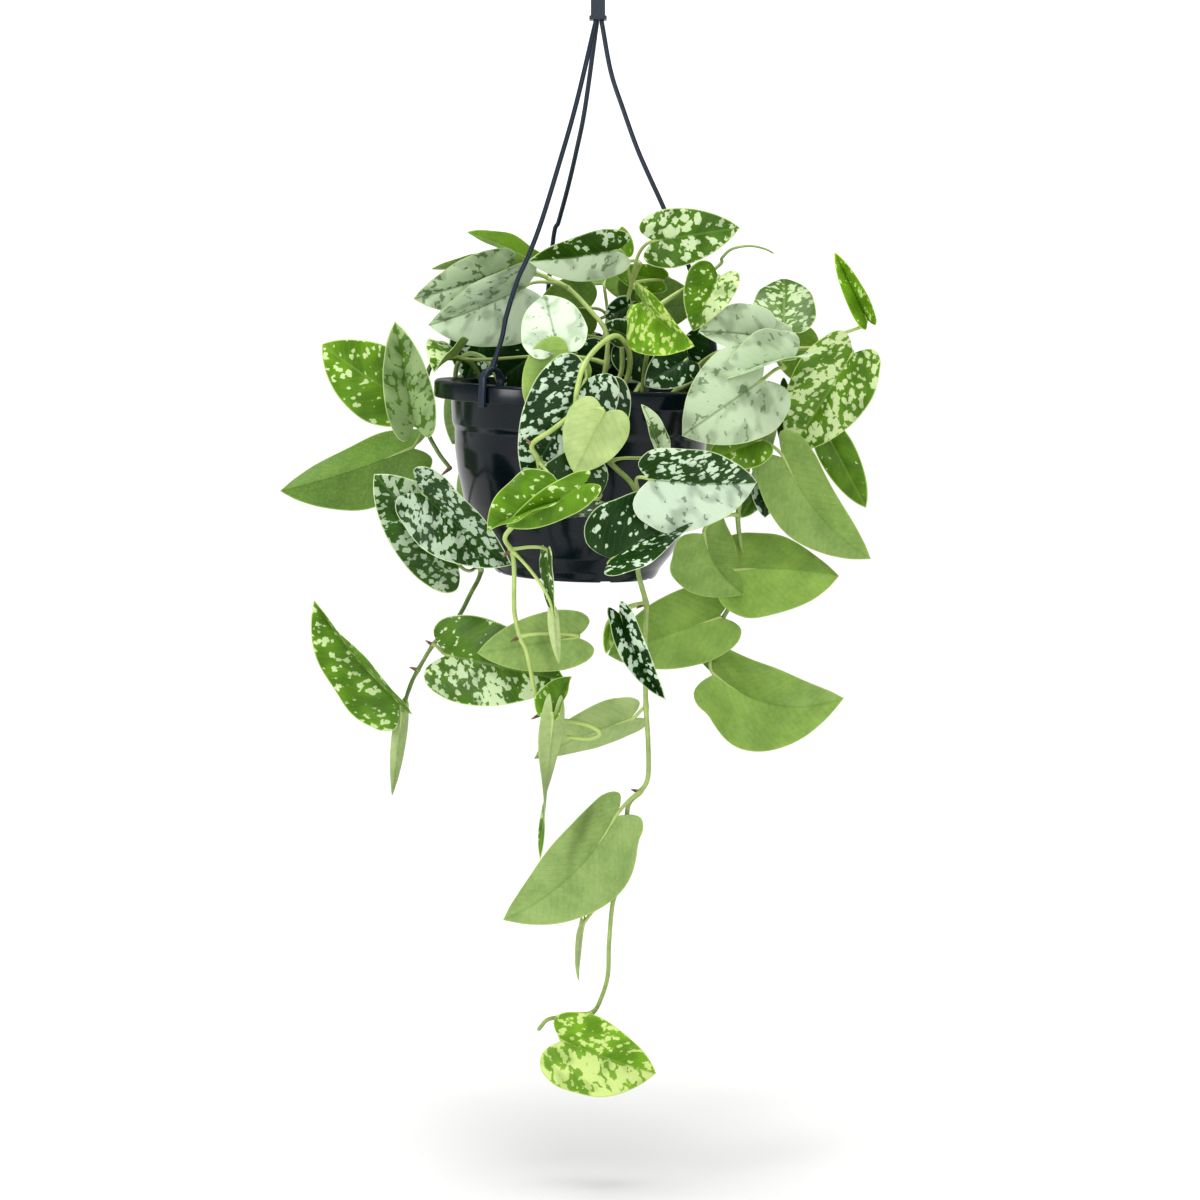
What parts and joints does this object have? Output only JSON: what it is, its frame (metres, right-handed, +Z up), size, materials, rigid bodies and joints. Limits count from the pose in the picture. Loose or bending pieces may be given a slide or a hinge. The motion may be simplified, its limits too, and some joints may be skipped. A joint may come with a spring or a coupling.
{
  "type": "satin pothos in a hanging pot",
  "caption": "Trailing satin pothos with silver-flecked heart-shaped leaves, growing over the rim of a dark plastic hanging pot with a hooked three-strand hanger.",
  "frame": {"origin": "seat of the hook, at the top of the inside of its loop", "axes": "+Z up along the hanger, +X to the right seen from the front, +Y away from the front"},
  "size_m": [0.3082, 0.2402, 0.5938],
  "materials": {
    "pot": "satin, dark anthracite",
    "hanger": "satin, dark grey",
    "soil": "rough, dark brown potting mix",
    "foliage": "satin green leaf flecked with silver"
  },
  "bodies": {
    "root": {"pot": "pot", "soil": "soil", "hanger_head": "hanger", "strand_front_left": "hanger", "strand_back": "hanger", "strand_right": "hanger", "stem_front": "foliage", "stem_long": "foliage", "stem_left_upper": "foliage", "stem_left_lower": "foliage", "crown_left": "foliage", "crown_middle": "foliage", "crown_front": "foliage", "right_upper": "foliage", "right_outer": "foliage", "right_low": "foliage", "back_left": "foliage", "back_right": "foliage", "crown_back": "foliage"}
  },
  "joints": []
}
